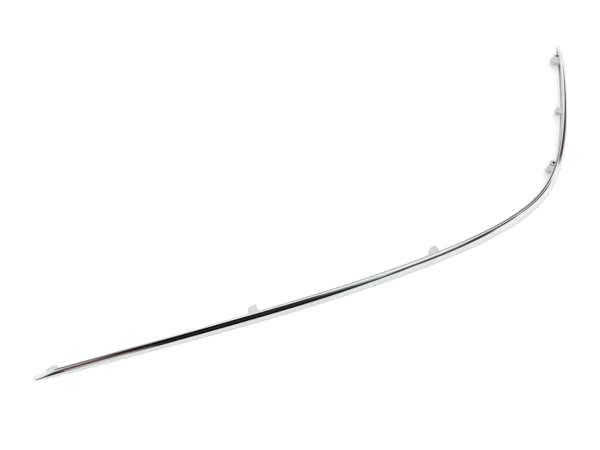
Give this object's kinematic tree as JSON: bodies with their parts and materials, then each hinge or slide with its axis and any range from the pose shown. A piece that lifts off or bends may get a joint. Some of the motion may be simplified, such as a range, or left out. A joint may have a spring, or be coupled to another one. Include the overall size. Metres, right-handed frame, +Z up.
{
  "type": "bumper chrome trim",
  "caption": "Curved chromed bumper trim moulding with a crowned face, tapered tips and snap clips along its hollow back.",
  "frame": {"origin": "centre of the strip's box, on the plane of its lower edge", "axes": "+Z up, across the strip's height, which is its shortest extent; +X along the front run towards the corner, the longest extent of the box; +Y towards the side tip"},
  "size_m": [0.7661, 0.6423, 0.0151],
  "materials": {
    "chrome_plating": "mirror plated"
  },
  "bodies": {
    "root": {"trim_moulding": "chrome_plating"}
  },
  "joints": []
}
